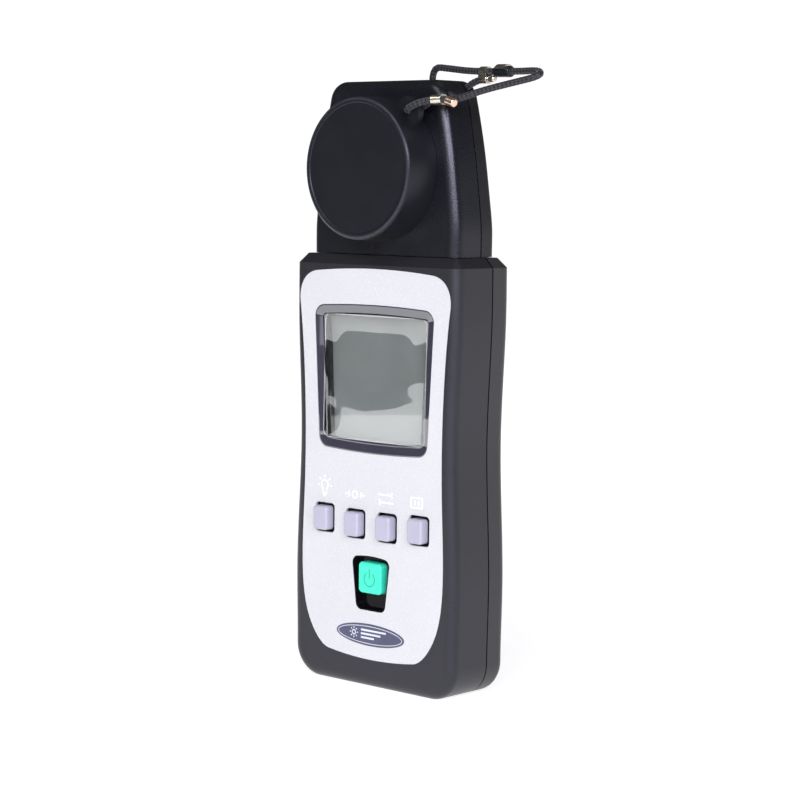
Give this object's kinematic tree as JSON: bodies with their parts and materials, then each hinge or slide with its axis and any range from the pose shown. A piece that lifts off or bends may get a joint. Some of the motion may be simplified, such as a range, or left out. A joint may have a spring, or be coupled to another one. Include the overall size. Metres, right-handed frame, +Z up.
{
  "type": "handheld light meter",
  "caption": "Pocket light meter with a swivelling sensor head, push-on round sensor cap on a tether, grey display window, key row and green power key",
  "frame": {"origin": "middle of the case's flat bottom edge, on the plane the meter stands on", "axes": "+X to the right seen from the front, front faces -Y, +Z up along the meter"},
  "size_m": [0.0719, 0.0263, 0.1532],
  "materials": {
    "case_black": "fine textured moulding",
    "case_side": "fine textured moulding",
    "plate_silver": "satin paint with white print",
    "clear_lens": "polished clear acrylic",
    "lcd_grey": "polarised display glass",
    "white_plastic": "diffusing white",
    "key_lilac": "satin keys",
    "power_green": "satin green key",
    "dish_black": "glossy black",
    "badge_blue": "dark blue oval, no lettering",
    "silicone": "silicone mat",
    "board_green": "circuit board",
    "steel": "bright plated steel",
    "cell_wrap": "plain cell wrap",
    "filter_blue": "colour correction filter",
    "die_black": "photodiode package",
    "cap_black": "fine matte rubber",
    "braid_black": "braided elastic cord",
    "crimp_nickel": "warm nickel plate",
    "crimp_copper": "copper toned plate"
  },
  "bodies": {
    "case": {"front_case": "case_black", "rear_case": "case_side", "case_screws": "steel", "faceplate": "plate_silver", "badge": "badge_blue", "lcd_lens": "clear_lens", "lcd_frame": "case_black", "lcd_glass": "lcd_grey", "backlight": "white_plastic", "keypad_mat": "silicone", "main_board": "board_green", "power_bezel": "dish_black", "battery_cells": "cell_wrap", "battery_contacts": "steel"},
    "head": {"head_front": "case_black", "head_rear": "case_side", "head_screws": "steel", "neck_tube": "steel", "neck_ring": "steel", "diffuser": "white_plastic", "colour_filter": "filter_blue", "photodiode": "die_black", "sensor_board": "board_green", "tether_cord": "braid_black", "tether_band_2": "crimp_nickel", "tether_tip_2": "crimp_nickel", "tether_sleeve": "cap_black", "tether_collar": "crimp_nickel"},
    "sensor_cap": {"sensor_cap": "cap_black", "tether_loop": "braid_black", "tether_band_1": "crimp_nickel", "tether_tip_1": "crimp_copper"},
    "battery_door": {"battery_door": "case_side", "door_screw": "steel"},
    "key_light": {"key_light": "key_lilac"},
    "key_zero": {"key_zero": "key_lilac"},
    "key_unit": {"key_unit": "key_lilac"},
    "key_hold": {"key_hold": "key_lilac"},
    "power_button": {"power_button": "power_green"}
  },
  "joints": [
    {"name": "head_swivel", "type": "hinge", "parent": "case", "child": "head", "pos_m": [0, 0, 0.107], "axis": [0, 0, 1], "range_deg": [-90, 180]},
    {"name": "cap_pull", "type": "slide", "parent": "head", "child": "sensor_cap", "axis": [0, -1, 0], "range_m": [0, 0.012]},
    {"name": "battery_door_lift", "type": "slide", "parent": "case", "child": "battery_door", "axis": [0, 1, 0], "range_m": [0, 0.014]},
    {"name": "key_light_press", "type": "slide", "parent": "case", "child": "key_light", "axis": [0, 1, 0], "range_m": [0, 0.0006], "stiffness_N_per_m": 900},
    {"name": "key_zero_press", "type": "slide", "parent": "case", "child": "key_zero", "axis": [0, 1, 0], "range_m": [0, 0.0006], "stiffness_N_per_m": 900},
    {"name": "key_unit_press", "type": "slide", "parent": "case", "child": "key_unit", "axis": [0, 1, 0], "range_m": [0, 0.0006], "stiffness_N_per_m": 900},
    {"name": "key_hold_press", "type": "slide", "parent": "case", "child": "key_hold", "axis": [0, 1, 0], "range_m": [0, 0.0006], "stiffness_N_per_m": 900},
    {"name": "power_press", "type": "slide", "parent": "case", "child": "power_button", "axis": [0, 1, 0], "range_m": [0, 0.0005], "stiffness_N_per_m": 1100}
  ]
}
